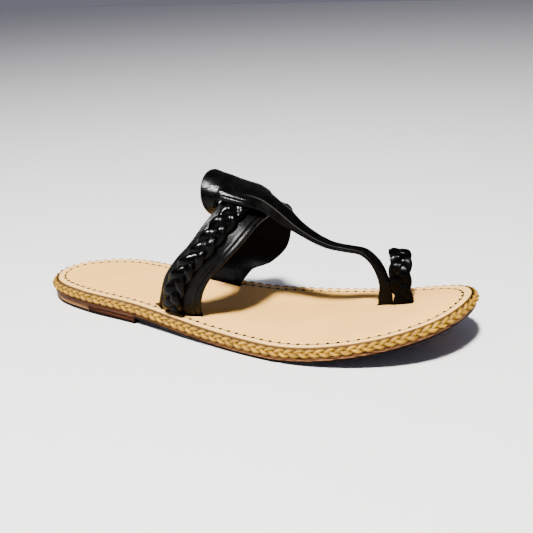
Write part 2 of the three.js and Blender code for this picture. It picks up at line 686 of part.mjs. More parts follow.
addPart("outsole", soleLayer(OUTSOLE_MARGIN, soleBottom, outsoleTop), SOLE_LEATHER);
addPart("heel_tip", heelPiece(0, HEEL_TIP_LENGTH), HEEL_TIP_LEATHER);
addPart("heel_lift", heelPiece(HEEL_TIP_LENGTH + SEAT_GAP, HEEL_LIFT_LENGTH), HEEL_LEATHER);
addPart("insole", insole(), TAN_LEATHER);
addPart("jute_rim", juteRim(), JUTE);
addPart("instep_band", instepBand(), BLACK_LEATHER);
addPart("band_plait", bandPlait(), BLACK_LEATHER);
addPart("toe_strap", toeStrap(), BLACK_LEATHER);
addPart("toe_loop", toeLoop(), BLACK_LEATHER);

export default group;
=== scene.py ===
# %% [markdown]
# # A toe post sandal in leather and jute
#
# The imported model gives the frame: every solid of the sandal at its real size.
# Each visible piece is modelled again here with a finer surface and dressed with its own material.
# Each piece prints its box in millimetres as it is made.

# %% Load the frame
import math

import bmesh
import bpy
from mathutils import Euler, Matrix, Quaternion, Vector


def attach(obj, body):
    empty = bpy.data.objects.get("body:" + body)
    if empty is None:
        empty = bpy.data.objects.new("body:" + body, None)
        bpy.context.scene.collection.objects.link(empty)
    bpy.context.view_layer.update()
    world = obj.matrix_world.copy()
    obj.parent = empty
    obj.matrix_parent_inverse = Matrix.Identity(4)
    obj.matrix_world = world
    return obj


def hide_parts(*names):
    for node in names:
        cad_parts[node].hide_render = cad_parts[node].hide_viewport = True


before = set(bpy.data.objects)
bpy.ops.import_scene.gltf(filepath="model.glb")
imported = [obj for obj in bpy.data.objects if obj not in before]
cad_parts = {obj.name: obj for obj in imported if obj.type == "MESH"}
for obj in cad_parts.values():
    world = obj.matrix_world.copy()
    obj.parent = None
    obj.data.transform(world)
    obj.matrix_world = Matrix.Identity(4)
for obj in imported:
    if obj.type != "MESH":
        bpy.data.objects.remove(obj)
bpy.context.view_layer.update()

MM = 0.001
print("nodes in the frame:", sorted(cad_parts))

# %% [markdown]
# ## The camera
#
# The photograph was taken from the front and the lateral side, a little above the sandal.
# A turn, a rise, a roll and a distance from its target place the camera.
# The lens is set by its focal length.

# %% Camera
CAMERA_TARGET = Vector((-0.0099, 0.0523, 0.010))
CAMERA_TURN = math.radians(27.57)
CAMERA_RISE = math.radians(20.96)
CAMERA_ROLL = math.radians(-2.61)
CAMERA_DISTANCE = 0.5
CAMERA_LENS = 54.34


def new_object(name, data):
    """Object that holds the data, linked to the scene."""
    made = bpy.data.objects.new(name, data)
    bpy.context.scene.collection.objects.link(made)
    return made


look = Vector((0, 1, 0))
look.rotate(Euler((-CAMERA_RISE, 0, CAMERA_TURN)))
camera = new_object("camera", bpy.data.cameras.new("camera"))
camera.data.lens = CAMERA_LENS
camera.data.sensor_width = 36
camera.data.clip_start = 0.01
camera.location = CAMERA_TARGET - CAMERA_DISTANCE * look
camera.rotation_mode = "QUATERNION"
camera.rotation_quaternion = look.to_track_quat("-Z", "Y") @ Quaternion((0, 0, 1), CAMERA_ROLL)
bpy.context.scene.camera = camera
print("camera at", [round(v, 3) for v in camera.location])

# %% [markdown]
# ## The floor
#
# The sandal stands on a plain pale floor, which belongs to the picture and not to the part.

# %% Floor
FLOOR_SIZE = 6.0
FLOOR_COLOUR = (0.79, 0.80, 0.82, 1)


def make_material(name, roughness, specular):
    """New material, its node tree and its shader."""
    material = bpy.data.materials.new(name)
    material.use_nodes = True
    shader = material.node_tree.nodes["Principled BSDF"]
    shader.inputs["Roughness"].default_value = roughness
    shader.inputs["Specular IOR Level"].default_value = specular
    print("material", name)
    return material, material.node_tree, shader


floor_mesh = bpy.data.meshes.new("floor")
floor_bm = bmesh.new()
bmesh.ops.create_grid(floor_bm, x_segments=1, y_segments=1, size=FLOOR_SIZE / 2)
floor_bm.to_mesh(floor_mesh)
floor_bm.free()
floor = new_object("floor", floor_mesh)
floor_material, _, shader = make_material("pale_floor", 0.65, 0.3)
shader.inputs["Base Color"].default_value = FLOOR_COLOUR
floor.data.materials.append(floor_material)
print("floor", FLOOR_SIZE, "m wide")

# %% [markdown]
# ## The light
#
# One small warm lamp above and towards the camera throws the shadow.
# Three more only draw gloss on the leather. They are hidden from matt surfaces, so that
# the shadow stays dark. A faint bluish sky fills the rest.

# %% Lamps
KEY_WAY = (0.12, -0.42, 0.89)
KEY_DISTANCE = 1.2
KEY_TINT = (1, 0.955, 0.895)
HEEL_SIDE_WAY = (-0.38, -0.44, 0.81)
FRONT_WAY = (0.5, -1.0, 0.5)
SKY_COLOUR = (0.82, 0.80, 1.0, 1)
SKY_STRENGTH = 0.2


def soft_lamp(name, towards, distance, size, power, tint=(1, 1, 1), fill=True):
    """Square lamp in a direction from the sandal, aimed at it; without fill it only makes gloss."""
    lamp = new_object(name, bpy.data.lights.new(name, "AREA"))
    lamp.data.shape = "SQUARE"
    lamp.data.size = size
    lamp.data.energy = power
    lamp.data.color = tint
    lamp.visible_diffuse = fill
    way = Vector(towards).normalized()
    lamp.location = way * distance
    lamp.rotation_mode = "QUATERNION"
    lamp.rotation_quaternion = way.to_track_quat("Z", "Y")


soft_lamp("key_lamp", KEY_WAY, KEY_DISTANCE, size=0.13, power=60, tint=KEY_TINT)
soft_lamp("gloss_key", KEY_WAY, KEY_DISTANCE, size=0.16, power=90, fill=False)
soft_lamp("gloss_lamp", HEEL_SIDE_WAY, distance=1.3, size=0.2, power=290, fill=False)
soft_lamp("front_lamp", FRONT_WAY, distance=1.8, size=1.0, power=15, fill=False)

world = bpy.data.worlds.new("studio")
world.use_nodes = True
sky = world.node_tree.nodes["Background"]
sky.inputs["Color"].default_value = SKY_COLOUR
sky.inputs["Strength"].default_value = SKY_STRENGTH
bpy.context.scene.world = world

# %% [markdown]
# ## Sizes and tables of the sandal
#
# The pieces follow the same sizes as the solids, in millimetres.
# A table has one row for each section of a piece, and its columns are shares of the named sizes.

# %% Sizes of the sole
INSOLE_LENGTH = 250
INSOLE_WIDTH = 82
OUTSOLE_THICKNESS = 3.3
INSOLE_THICKNESS = 4.3
HEEL_LIFT_THICKNESS = 3.9
HEEL_TIP_LENGTH = 41
HEEL_LIFT_LENGTH = 76
TOE_SPRING = 18.4
OUTSOLE_MARGIN = 2.5
HEEL_MARGIN = 1.9
SEAT_GAP = 0.3
OUTLINE_STEPS = 720
SHANK = (0.22, 0.585)
SPRING_START = 0.645
SPRING_POWER = 1.7
MEDIAL_SHARES = (0.007, 0.229, 0.366, 0.337, 0.357, 0.486, 0.483, 0.401, 0.166)
LATERAL_SHARES = (0.007, -0.207, -0.313, -0.364, -0.453, -0.496, -0.385, -0.166, 0.166)
OUTLINE_LOOP = MEDIAL_SHARES + LATERAL_SHARES[-2:0:-1]


def outline_point(angle):
    """Point of the insole's edge: angle 0 at the heel, pi at the toe, medial side first."""
    count = len(OUTLINE_LOOP)
    place = (angle / math.tau) % 1 * count
    k = int(place)
    part = place - k
    a, b, c, d = (OUTLINE_LOOP[(k + step) % count] for step in (-1, 0, 1, 2))
    share = b + 0.5 * part * (c - a + part * (2 * a - 5 * b + 4 * c - d + part * (3 * (b - c) + d - a)))
    return Vector((-0.5 * INSOLE_LENGTH * math.cos(angle), share * INSOLE_WIDTH))


def edge_point(angle, margin):
    """Point a margin outside the insole's edge, or inside it where the margin is negative."""
    way = (outline_point(angle + 0.01) - outline_point(angle - 0.01)).normalized()
    return outline_point(angle) + margin * Vector((-way.y, way.x))


def smoothstep(low, high, value):
    """Share from 0 at low to 1 at high, level at both ends."""
    part = min(max((value - low) / (high - low), 0), 1)
    return part * part * (3 - 2 * part)


def sole_bottom(x):
    """Height of the outsole's underside: it rises over the heel pieces and at the toe."""
    share = x / INSOLE_LENGTH + 0.5
    shank = 1 - smoothstep(*SHANK, share)
    spring = max(0, (share - SPRING_START) / (1 - SPRING_START)) ** SPRING_POWER
    return (HEEL_LIFT_THICKNESS + SEAT_GAP) * shank + TOE_SPRING * spring


def outsole_top(x):
    return sole_bottom(x) + OUTSOLE_THICKNESS


def insole_bottom(x):
    return outsole_top(x) + SEAT_GAP


def insole_top(x):
    return insole_bottom(x) + INSOLE_THICKNESS


print("insole top at heel, ball and toe:", [round(insole_top(x), 1) for x in (-100, 30, 120)])

# %% [markdown]
# ## One way to build every strap and layer
#
# A strap, a sole layer and a strand are all rings of points one after another.
# Blender's grid operator makes the faces: its two directions run along the piece and round its
# section, each grid point is moved to its place, the seam is merged and the ends are filled.

# %% Grid patches
MERGE = 0.001 * MM
SHARP_ANGLE = math.radians(50)


def grid_patch(bm, uv_layer, steps_along, steps_across, place, chart=lambda i, j: (i, j)):
    """Faces of the grid operator, with every point moved to its place in millimetres."""
    made = bmesh.ops.create_grid(bm, x_segments=steps_along, y_segments=steps_across, size=0.5)
    spots = {
        vert: (round((vert.co.x + 0.5) * steps_along), round((vert.co.y + 0.5) * steps_across))
        for vert in made["verts"]
    }
    for face in {face for vert in spots for face in vert.link_faces}:
        for loop in face.loops:
            loop[uv_layer].uv = chart(*spots[loop.vert])
    for vert, (i, j) in spots.items():
        vert.co = place(i, j) * MM
    return spots


def start_mesh(*values):
    """Empty mesh with a UV map and one number to a point for each named value."""
    bm = bmesh.new()
    for name in values:
        bm.verts.layers.float.new(name)
    return bm, bm.loops.layers.uv.new("UVMap")


def fill_ends(bm):
    bmesh.ops.holes_fill(bm, edges=[edge for edge in bm.edges if edge.is_boundary], sides=0)


def finish_mesh(name, bm):
    """Close a mesh, turn its faces outwards and link it as a piece."""
    bmesh.ops.remove_doubles(bm, verts=bm.verts, dist=MERGE)
    fill_ends(bm)
    bmesh.ops.recalc_face_normals(bm, faces=bm.faces)
    for face in bm.faces:
        face.smooth = True
    mesh = bpy.data.meshes.new(name)
    bm.to_mesh(mesh)
    bm.free()
    mesh.set_sharp_from_angle(angle=SHARP_ANGLE)
    return new_object(name, mesh)


def dress(piece, material, slot, *nodes_replaced):
    """Give a piece its material, its body and the nodes that it stands for."""
    piece.data.materials.append(material)
    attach(piece, "root")
    if nodes_replaced:
        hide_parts(*nodes_replaced)
    low, high = ([round(v / MM, 1) for v in piece.bound_box[corner]] for corner in (0, 6))
    print(piece.name, len(piece.data.polygons), "faces from", low, "to", high, "mm")


# %% Rings to a solid
def lengths_along(points, closed=False):
    """Distance of each point from the first one, along the line of points."""
    line = points + points[:1] if closed else points
    lengths = [0.0]
    for before, after in zip(line, line[1:]):
        lengths.append(lengths[-1] + (after - before).length)
    return lengths


def add_rings(bm, uv_layer, rings, closed=False, **values):
    """Skin rings of points into one solid; the UV map holds its lengths in metres.

    Each named value is a table of rings too, with one number for each point."""
    columns = len(rings[0])
    along = lengths_along([ring[0] for ring in rings], closed)
    around = lengths_along(rings[len(rings) // 2], closed=True)
    spots = grid_patch(
        bm, uv_layer, len(along) - 1, columns,
        lambda i, j: rings[i % len(rings)][j % columns],
        lambda i, j: (along[i] * MM, around[j] * MM),
    )
    for name, numbers in values.items():
        layer = bm.verts.layers.float[name]
        for vert, (i, j) in spots.items():
            vert[layer] = numbers[i % len(rings)][j % columns]


def table(columns, *rows):
    """Rows of a table, each value under the name of its column."""
    names = columns.split()
    return [dict(zip(names, row)) for row in rows]


def table_value(rows, column, place):
    """One column of a table between its rows, smooth and without overshoot."""
    last = len(rows) - 1
    row = min(max(int(place), 0), last - 1)
    part = place - row

    def step(k):
        return rows[k + 1][column] - rows[k][column]

    def slope(k):
        if k in (0, last):
            return step(0) if k == 0 else step(last - 1)
        before, after = step(k - 1), step(k)
        return 0 if before * after <= 0 else 2 * before * after / (before + after)

    square, cube = part ** 2, part ** 3
    return (
        (2 * cube - 3 * square + 1) * rows[row][column]
        + (cube - 2 * square + part) * slope(row)
        + (3 * square - 2 * cube) * rows[row + 1][column]
        + (cube - square) * slope(row + 1)
    )


def row_at(rows, place):
    """All the columns of a table at a place between its rows."""
    return {column: table_value(rows, column, place) for column in rows[0]}


def places(rows, between):
    """Places all along a table, the same number between each two rows."""
    return [i / between for i in range((len(rows) - 1) * between + 1)]


# %% [markdown]
# ## Nodes by name
#
# Every finish needs the same few nodes. Short functions add them and link them by socket.

# %% Node helpers
def node(tree, kind, values=None, **settings):
    """Shader node of a kind, with its settings and the values of its inputs."""
    made = tree.nodes.new("ShaderNode" + kind)
    for key, value in settings.items():
        setattr(made, key, value)
    for key, value in (values or {}).items():
        made.inputs[key].default_value = value
    return made


def wire(tree, *path):
    """Links along a path: a node, its output, the next node's input, that node, and so on."""
    for k in range(0, len(path) - 1, 3):
        source, output, socket, target = path[k:k + 4]
        tree.links.new(source.outputs[output], target.inputs[socket])


def colour_mix(tree, first=(0, 0, 0), second=(0, 0, 0)):
    """Mix of two colours; a link takes the place of one that isn't given."""
    return node(tree, "Mix", {"A": (*first, 1), "B": (*second, 1)}, data_type="RGBA")


def map_range(tree, low=0, high=1, to_low=0, to_high=1):
    """Range from low to high, moved to the range from to_low to to_high."""
    ends = {"From Min": low, "From Max": high, "To Min": to_low, "To Max": to_high}
    return node(tree, "MapRange", ends)


def multiply(tree, factor=1):
    """Product of two inputs; factor is the second where nothing is linked to it."""
    return node(tree, "Math", {1: factor}, operation="MULTIPLY")


def bump_node(tree, strength, distance):
    return node(tree, "Bump", {"Strength": strength, "Distance": distance})


def attribute(tree, name):
    return node(tree, "Attribute", attribute_name=name)


def curve_node(tree, first, last, marks):
    """Curve from 0 to 1 with its two end values and the marks between them."""
    curve = node(tree, "FloatCurve")
    points = curve.mapping.curves[0].points
    points[0].location = (0, first)
    points[1].location = (1, last)
    for place, value in marks:
        points.new(place, value)
    curve.mapping.update()
    return curve


# %% [markdown]
# ## Leather grain
#
# Smooth leather has fine pores and soft creases. Both come from one node group that puts out a
# height and a mask, so that the upper and the insole can use it at their own scales.

# %% Leather grain group
def grain_group():
    """Node group with a place and two scales in, and a height and a crease mask out."""
    group = bpy.data.node_groups.new("leather_grain", "ShaderNodeTree")
    group.interface.new_socket("Vector", in_out="INPUT", socket_type="NodeSocketVector")
    for label, scale in (("Pore Scale", 900.0), ("Crease Scale", 120.0)):
        socket = group.interface.new_socket(label, in_out="INPUT", socket_type="NodeSocketFloat")
        socket.default_value = scale
    for label in ("Height", "Crease"):
        group.interface.new_socket(label, in_out="OUTPUT", socket_type="NodeSocketFloat")
    inside, outside = group.nodes.new("NodeGroupInput"), group.nodes.new("NodeGroupOutput")
    pores = node(group, "TexVoronoi")
    creases = node(group, "TexNoise", {"Detail": 6.0, "Roughness": 0.62, "Distortion": 0.6})
    ridge = map_range(group, 0.35, 0.65)
    mix = node(group, "Mix", {"Factor": 0.55})
    wire(group, inside, "Vector", "Vector", pores, "Distance", "A", mix, "Result", "Height", outside)
    wire(group, inside, "Vector", "Vector", creases, "Fac", "Value", ridge, "Result", "Crease", outside)
    wire(group, inside, "Pore Scale", "Scale", pores)
    wire(group, inside, "Crease Scale", "Scale", creases)
    wire(group, ridge, "Result", "B", mix)
    return group


GRAIN = grain_group()
print("group:", GRAIN.name)


def grain_node(tree, pores, creases):
    """The grain group at two scales, placed by the piece's own coordinates."""
    scales = {"Pore Scale": pores, "Crease Scale": creases}
    grain = node(tree, "Group", scales, node_tree=GRAIN)
    wire(tree, node(tree, "TexCoord"), "Object", "Vector", grain)
    return grain


# %% [markdown]
# ## Materials
#
# Each finish starts from the shader, and nodes vary its colour, its gloss and its surface.
# The black leather is matt on its lining side and shines less at a grazing look. Along its crests
# a painted highlight makes it grey. Attributes of the mesh say where the lining and the crests are.

# %% Black leather
BLACK_DARK = (0.0003, 0.0003, 0.0003)
BLACK_LIGHT = (0.0012, 0.0012, 0.0011)
# Grey of the painted highlight along the toe strap's crest.
CREST_HIGHLIGHT_GREY = (0.028, 0.027, 0.025)
LINING_SPECULAR = 0.01


def black_leather(name, roughness, specular, relief):
    """Smooth glossy black leather with fine pores and faint creases."""
    material, tree, shader = make_material(name, roughness, specular)
    grain = grain_node(tree, 1500.0, 160.0)
    bump = bump_node(tree, relief, 0.0002)
    gloss = map_range(tree, to_low=roughness - 0.03, to_high=roughness + 0.08)
    tint = colour_mix(tree, BLACK_DARK, BLACK_LIGHT)
    crest_highlight = colour_mix(tree, second=CREST_HIGHLIGHT_GREY)
    sheen = map_range(tree, to_low=specular, to_high=LINING_SPECULAR)
    graze = map_range(tree, 0.5, 0.95, 1, 0.1)
    damped = multiply(tree)
    wire(tree, grain, "Height", "Height", bump, "Normal", "Normal", shader)
    wire(tree, grain, "Crease", "Value", gloss, "Result", "Roughness", shader)
    wire(tree, grain, "Crease", "Factor", tint, "Result", "A", crest_highlight, "Result", "Base Color", shader)
    # The crest attribute mixes in the painted highlight.
    wire(tree, attribute(tree, "crest"), "Fac", "Factor", crest_highlight)
    wire(tree, attribute(tree, "lining"), "Fac", "Value", sheen, "Result", 1, damped)
    wire(tree, node(tree, "LayerWeight"), "Facing", "Value", graze, "Result", 0, damped)
    wire(tree, damped, "Value", "Specular IOR Level", shader)
    return material


BLACK = black_leather("black_leather", roughness=0.22, specular=0.042, relief=0.7)
BLACK_BAND = black_leather("black_band_leather", roughness=0.34, specular=0.05, relief=0.9)
BLACK_LACE = black_leather("black_lace_leather", roughness=0.14, specular=0.032, relief=0.3)
BLACK_LOOP = black_leather("black_loop_leather", roughness=0.18, specular=0.018, relief=0.3)

# %% [markdown]
# The insole is natural tanned leather. Every point of it knows its distance to the edge, in
# metres, which gives the paler border, the stitch groove and the dark line at the edge.

# %% Tan insole leather
TAN_DARK = (0.77, 0.415, 0.088)
TAN_LIGHT = (0.90, 0.51, 0.14)
TAN_BORDER = (0.88, 0.52, 0.16)
# Colour of the darker lines at the edge and along the stitch groove.
TAN_LINE_DARK = (0.05, 0.018, 0.004)
BORDER_FADE = (0.0052, 0.0040)
METRES_TO_CM = 100
EDGE_DARKENING = 0.9
SEAM_DARKENING = ((0.03, 0.85), (0.07, 0), (0.37, 0), (0.415, 0.85), (0.46, 0))


def tan_leather(name):
    material, tree, shader = make_material(name, 0.5, 0.06)
    coords = node(tree, "TexCoord")
    grain = grain_node(tree, 1100.0, 60.0)
    cloud = node(tree, "TexNoise", {"Scale": 16.0, "Detail": 2.0})
    swell = bump_node(tree, 0.5, 0.018)
    bump = bump_node(tree, 0.25, 0.00012)
    edge = attribute(tree, "edge")
    border = map_range(tree, *BORDER_FADE)
    shrink = multiply(tree, METRES_TO_CM)
    seam = curve_node(tree, EDGE_DARKENING, 0, SEAM_DARKENING)
    base = colour_mix(tree, TAN_DARK, TAN_LIGHT)
    pale = colour_mix(tree, second=TAN_BORDER)
    darkened = colour_mix(tree, second=TAN_LINE_DARK)
    wire(tree, coords, "Object", "Vector", cloud, "Fac", "Factor", base, "Result", "A", pale)
    wire(tree, edge, "Fac", "Value", border, "Result", "Factor", pale)
    wire(tree, edge, "Fac", 0, shrink, "Value", "Value", seam, "Value", "Factor", darkened)
    wire(tree, pale, "Result", "A", darkened, "Result", "Base Color", shader)
    wire(tree, cloud, "Fac", "Height", swell, "Normal", "Normal", bump)
    wire(tree, grain, "Height", "Height", bump, "Normal", "Normal", shader)
    return material


TAN = tan_leather("tan_leather")

# %% [markdown]
# The sole leathers are cut edges: thin layers that run along the sole, with dark burnished
# lines along them and a dark line under the jute. The lowest part of the edges is painted black,
# a painted contact shadow where the sole meets the floor, and the outsole is painted darker
# towards the heel as shade. The UV map counts the points of the edge's section, so that a curve
# over a tenth of that count puts each line at its place in the section.

# %% Sole leathers
SECTION_SHARE = 0.1
BURNISH_AND_CONTACT_SHADOW = (0.003, 0.0015, 0.001)
SOLE_SPECULAR = (0.015, 0.01)
LAYER_SCALE = 30
HEEL_SHADE_SPAN = (-0.07, 0.06)
# Marks of the edge's section; the last, black from there down, is a painted contact shadow.
OUTSOLE_MARKS = ((0.15, 0.9), (0.23, 0), (0.30, 0.3), (0.315, 0.5), (0.33, 0.05), (0.35, 0.1), (0.366, 1))
HEEL_MARKS = ((0.30, 0), (0.315, 0.2), (0.33, 0), (0.352, 0.05), (0.362, 1))


def sole_leather(name, dark, light, roughness, layers, edge_marks, marks_start, heel_share=1):
    """Stacked brown leather with fine layer lines.

    The edge marks begin at marks_start, in millimetres, and run to the toe; the last of them is a
    painted contact shadow along the lower edge. heel_share is how much of the light colour is left
    at the heel, where painted shade darkens the outsole."""
    material, tree, shader = make_material(name, roughness, SOLE_SPECULAR[0])
    coords = node(tree, "TexCoord")
    stretch = node(tree, "Mapping", {"Scale": (LAYER_SCALE, LAYER_SCALE, layers)})
    lines = node(tree, "TexNoise", {"Scale": 1.0, "Detail": 4.0})
    ramp = map_range(tree, 0.35, 0.65)
    place = node(tree, "SeparateXYZ")
    # Painted shade: the colour darkens towards the heel.
    heel_shade = map_range(tree, *HEEL_SHADE_SPAN, heel_share)
    shaded_layers = multiply(tree)
    tint = colour_mix(tree, dark, light)
    chart = node(tree, "SeparateXYZ")
    shrink = multiply(tree, SECTION_SHARE)
    section = curve_node(tree, edge_marks[0][1], 1, edge_marks)
    breast = map_range(tree, (marks_start - 1) * MM, (marks_start + 1) * MM)
    beyond = multiply(tree)
    shine = map_range(tree, 0, 1, *SOLE_SPECULAR)
    burnish_and_shadow = colour_mix(tree, second=BURNISH_AND_CONTACT_SHADOW)
    bump = bump_node(tree, 0.4, 0.0002)
    wire(tree, coords, "Object", "Vector", stretch, "Vector", "Vector", lines, "Fac", "Value", ramp)
    wire(tree, ramp, "Result", 0, shaded_layers, "Value", "Factor", tint, "Result", "A", burnish_and_shadow)
    wire(tree, coords, "Object", "Vector", place, "X", "Value", heel_shade, "Result", 1, shaded_layers)
    wire(tree, place, "X", "Value", breast, "Result", 0, beyond)
    wire(tree, coords, "UV", "Vector", chart, "Y", 0, shrink, "Value", "Value", section, "Value", 1, beyond)
    wire(tree, beyond, "Value", "Factor", burnish_and_shadow, "Result", "Base Color", shader)
    wire(tree, beyond, "Value", "Value", shine, "Result", "Specular IOR Level", shader)
    wire(tree, ramp, "Result", "Height", bump, "Normal", "Normal", shader)
    return material


HEEL_BREAST = HEEL_LIFT_LENGTH - OUTSOLE_MARGIN - INSOLE_LENGTH / 2
SOLE_BROWN = sole_leather(
    "sole_leather", dark=(0.036, 0.011, 0.005), light=(0.36, 0.16, 0.065), roughness=0.3,
    layers=1700, edge_marks=OUTSOLE_MARKS, marks_start=HEEL_BREAST, heel_share=0.12,
)
HEEL_STYLE = {"roughness": 0.5, "layers": 900, "edge_marks": HEEL_MARKS, "marks_start": -INSOLE_LENGTH}
HEEL_DARK = sole_leather("heel_leather", (0.012, 0.0035, 0.0015), (0.048, 0.015, 0.0065), **HEEL_STYLE)
HEEL_TAN = sole_leather("heel_tip_leather", (0.10, 0.048, 0.020), (0.25, 0.13, 0.058), **HEEL_STYLE)

# %% [markdown]
# Jute is dull straw. Its fibres follow the strand's own UV map, and the lift of each point in the
# plait paints shade on the strand where it dips under another.

# %% Jute
STRAW_DARK = (0.05, 0.016, 0.0008)
STRAW_LIGHT = (0.62, 0.34, 0.028)
# Colour of the painted shade where a strand dips under another.
STRAW_PAINTED_SHADE = (0.02, 0.006, 0.0005)
FIBRE_SCALE = (120, 2600, 1)
LIFT_RANGE = (0.46, 0.95)


def jute_fibre(name):
    material, tree, shader = make_material(name, 0.45, 0.03)
    stretch = node(tree, "Mapping", {"Scale": FIBRE_SCALE})
    fibres = node(tree, "TexNoise", {"Scale": 1.0, "Detail": 5.0, "Roughness": 0.6})
    ramp = map_range(tree, 0.3, 0.7)
    straw = colour_mix(tree, STRAW_DARK, STRAW_LIGHT)
    relief = map_range(tree, *LIFT_RANGE)
    shade = colour_mix(tree, STRAW_PAINTED_SHADE)
    bump = bump_node(tree, 0.8, 0.0002)
    wire(tree, node(tree, "TexCoord"), "UV", "Vector", stretch, "Vector", "Vector", fibres)
    wire(tree, fibres, "Fac", "Value", ramp, "Result", "Factor", straw, "Result", "B", shade)
    wire(tree, attribute(tree, "lift"), "Fac", "Value", relief, "Result", "Factor", shade)
    wire(tree, shade, "Result", "Base Color", shader)
    wire(tree, fibres, "Fac", "Height", bump, "Normal", "Normal", shader)
    return material


STRAW = jute_fibre("jute_fibre")

# %% [markdown]
# Thread and awl holes are so small that a little change of tone is all that shows. The holes are
# near-black disks, painted shade for the dark inside each hole.

# %% Thread and holes
MOTTLE_SCALE = 300.0


def mottled(name, roughness, dark, light):
    """Plain dark colour that varies from stitch to stitch: thread, and painted shade in holes."""
    material, tree, shader = make_material(name, roughness, 0.02)
    spots = node(tree, "TexNoise", {"Scale": MOTTLE_SCALE})
    blend = colour_mix(tree, dark, light)
    wire(tree, node(tree, "TexCoord"), "Object", "Vector", spots, "Fac", "Factor", blend)
    wire(tree, blend, "Result", "Base Color", shader)
    return material


THREAD = mottled("stitch_thread", 0.6, (0.012, 0.005, 0.002), (0.048, 0.02, 0.01))
# Painted shade of the awl holes.
HOLE_SHADE = mottled("awl_hole_shade", 0.8, (0.002, 0.001, 0.0005), (0.006, 0.003, 0.0015))

# %% [markdown]
# ## Sole layers
#
# Outsole, heel and insole are sheets of leather with the same outline and different margins.
# Each is a rim, with its section running round the whole edge, and a ladder of faces across
# the middle of its top and underside. Following the edge keeps its rounding and the stitch
# groove even, which a plain slice from side to side would lose at the heel and the toe.

# %% Sole sheet
RIM_STATIONS = 192
LADDER_STEPS = 8
LADDER_INSET = 9
OUTSOLE_ROUNDING = (0.6, 0.9)


def rounded_edge(size, under_size, *groove):
    """Section of a sheet's edge from its inner top to its inner underside: inset, rise, on top."""
    top = [(LADDER_INSET, 0), *groove, (size, 0), (0.3 * size, -0.3 * size), (0, -size)]
    under = [(0, under_size), (0.3 * under_size, 0.3 * under_size), (under_size, 0), (LADDER_INSET, 0)]
    return [(*spot, True) for spot in top] + [(*spot, False) for spot in under]


def sole_mesh(margin, bottom, top, section):
    """Sheet between two heights, its edge a margin outside the insole's outline.

    The UV map counts stations along the edge and points of the section."""
    bm, uv_layer = start_mesh("edge")
    edge_layer = bm.verts.layers.float["edge"]

    def rim(i, j):
        inset, rise, on_top = section[j]
        p = edge_point(math.tau * i / RIM_STATIONS, margin - inset)
        return Vector((p.x, p.y, (top if on_top else bottom)(p.x) + rise))

    spots = grid_patch(bm, uv_layer, RIM_STATIONS, len(section) - 1, rim)
    for vert, (_, j) in spots.items():
        vert[edge_layer] = section[j][0] * MM
    for height in (top, bottom):
        def rung(i, j):
            angle = math.tau * i / RIM_STATIONS
            medial, lateral = (edge_point(side * angle, margin - LADDER_INSET) for side in (1, -1))
            p = medial.lerp(lateral, j / LADDER_STEPS)
            return Vector((p.x, p.y, height(p.x)))

        spots = grid_patch(bm, uv_layer, RIM_STATIONS // 2, LADDER_STEPS, rung)
        for vert in spots:
            vert[edge_layer] = LADDER_INSET * MM
    return bm


outsole = sole_mesh(OUTSOLE_MARGIN, sole_bottom, outsole_top, rounded_edge(*OUTSOLE_ROUNDING))
dress(finish_mesh("outsole_leather", outsole), SOLE_BROWN, "sole_leather", "outsole")

# %% [markdown]
# The heel is two short sheets one behind the other, sharp at the top where they meet the sole.

# %% Heel pieces
HEEL_ROUNDING = (0.12, 0.4)


def heel_piece(name, start, end):
    """Sheet under the heel, cut straight across at two distances from the back of the sole."""
    bm = sole_mesh(
        HEEL_MARGIN, lambda x: 0, lambda x: sole_bottom(x) - SEAT_GAP, rounded_edge(*HEEL_ROUNDING),
    )
    bmesh.ops.remove_doubles(bm, verts=bm.verts, dist=MERGE)
    back = -0.5 * INSOLE_LENGTH - OUTSOLE_MARGIN
    for distance, towards in ((start, -1), (end, 1)):
        bmesh.ops.bisect_plane(
            bm, geom=[*bm.verts, *bm.edges, *bm.faces], dist=MERGE / 10,
            plane_co=((back + distance) * MM, 0, 0), plane_no=(towards, 0, 0), clear_outer=True,
        )
        fill_ends(bm)
    return finish_mesh(name, bm)


heel_tip = heel_piece("heel_tip_leather", 0, HEEL_TIP_LENGTH)
dress(heel_tip, HEEL_TAN, "heel_tip_leather", "heel_tip")
heel_lift = heel_piece("heel_lift_leather", HEEL_TIP_LENGTH + SEAT_GAP, HEEL_LIFT_LENGTH)
dress(heel_lift, HEEL_DARK, "heel_leather", "heel_lift")

# %% [markdown]
# ## Instep band
#
# The band is one strap of leather over the foot. Its rows give the lean, the width and the
# height along the foot's shape, and its section runs from the rear to the front edge, with a
# piped rear edge and a double line of piping at the front. The surface is worked out first,
# because the plait and the slots follow it as well.

